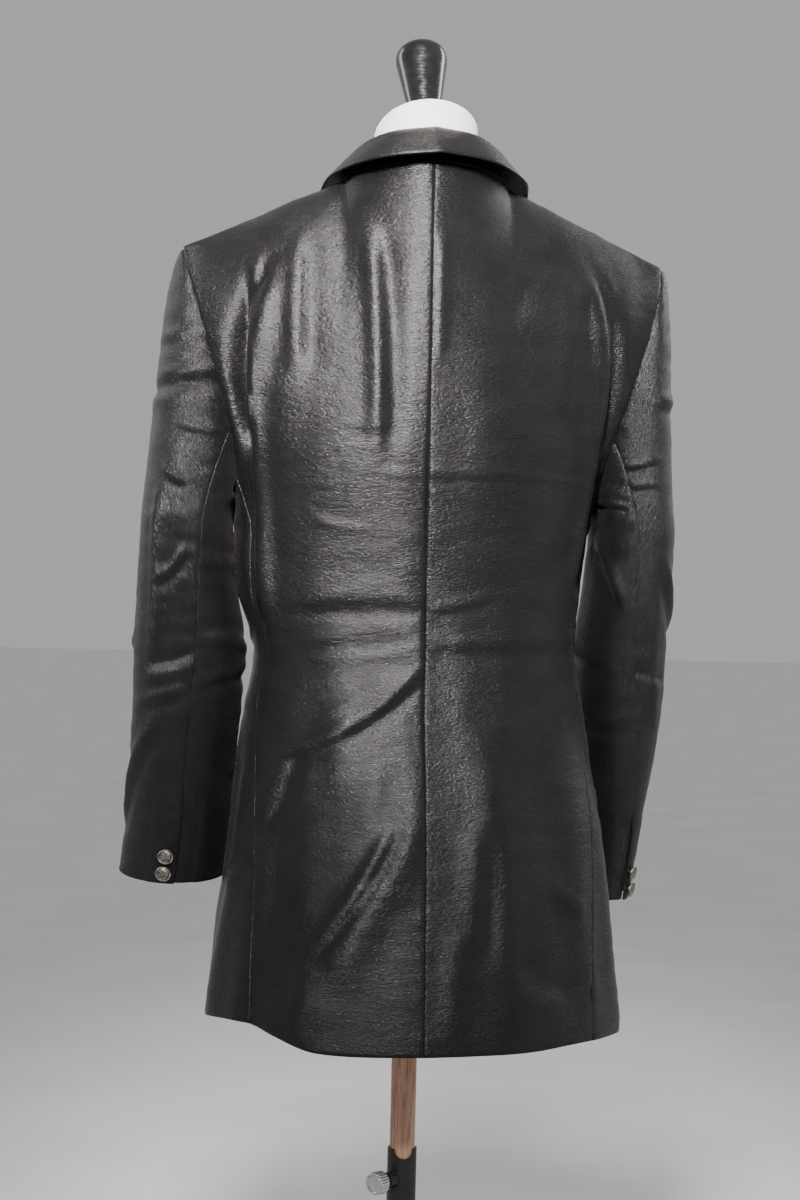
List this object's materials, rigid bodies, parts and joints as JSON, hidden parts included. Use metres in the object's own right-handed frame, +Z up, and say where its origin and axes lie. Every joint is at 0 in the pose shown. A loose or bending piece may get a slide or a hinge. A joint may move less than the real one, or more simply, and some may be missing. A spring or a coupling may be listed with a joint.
{
  "type": "blazer on a dress form",
  "caption": "Long blazer with notched lapels and cuff buttons, filled out on a limbless dress form that slides and swivels on a pole stand.",
  "frame": {"origin": "centre of the round base's flat underside, on the pole's axis", "axes": "+Z up along the pole, -Y is the garment's front, +X is the wearer's left"},
  "size_m": [0.5112, 0.38, 1.5799],
  "materials": {
    "cloth": "black satin-faced cloth with a fine irregular crinkle",
    "button_metal": "dull pewter-coloured cast metal",
    "form_cover": "white jersey cover",
    "lacquer": "black gloss lacquer",
    "pole_wood": "varnished pale wood",
    "stand_paint": "black satin paint",
    "screw_chrome": "polished chrome"
  },
  "bodies": {
    "stand": {"stand_base": "stand_paint", "stand_tube": "stand_paint"},
    "pole": {"pole": "pole_wood"},
    "dressed_form": {"form_torso": "form_cover", "neck_plate": "lacquer", "neck_knob": "lacquer", "back_left": "cloth", "back_right": "cloth", "side_left": "cloth", "side_right": "cloth", "front_left": "cloth", "front_right": "cloth", "lapel_left": "cloth", "lapel_right": "cloth", "collar": "cloth", "sleeve_top_left": "cloth", "sleeve_under_left": "cloth", "sleeve_top_right": "cloth", "sleeve_under_right": "cloth", "cuff_button_left_1": "button_metal", "cuff_button_left_2": "button_metal", "cuff_button_right_1": "button_metal", "cuff_button_right_2": "button_metal", "front_button_1": "button_metal", "front_button_2": "button_metal"},
    "clamp_screw": {"clamp_screw": "screw_chrome"}
  },
  "joints": [
    {"name": "height_slide", "type": "slide", "parent": "stand", "child": "pole", "axis": [0, 0, 1], "range_m": [-0.06, 0.15]},
    {"name": "form_swivel", "type": "hinge", "parent": "pole", "child": "dressed_form", "pos_m": [0, 0, 0.75], "axis": [0, 0, 1], "continuous": true},
    {"name": "screw_turn", "type": "hinge", "parent": "stand", "child": "clamp_screw", "pos_m": [0, 0, 0.513], "axis": [0.766, 0.6428, 0], "continuous": true}
  ]
}
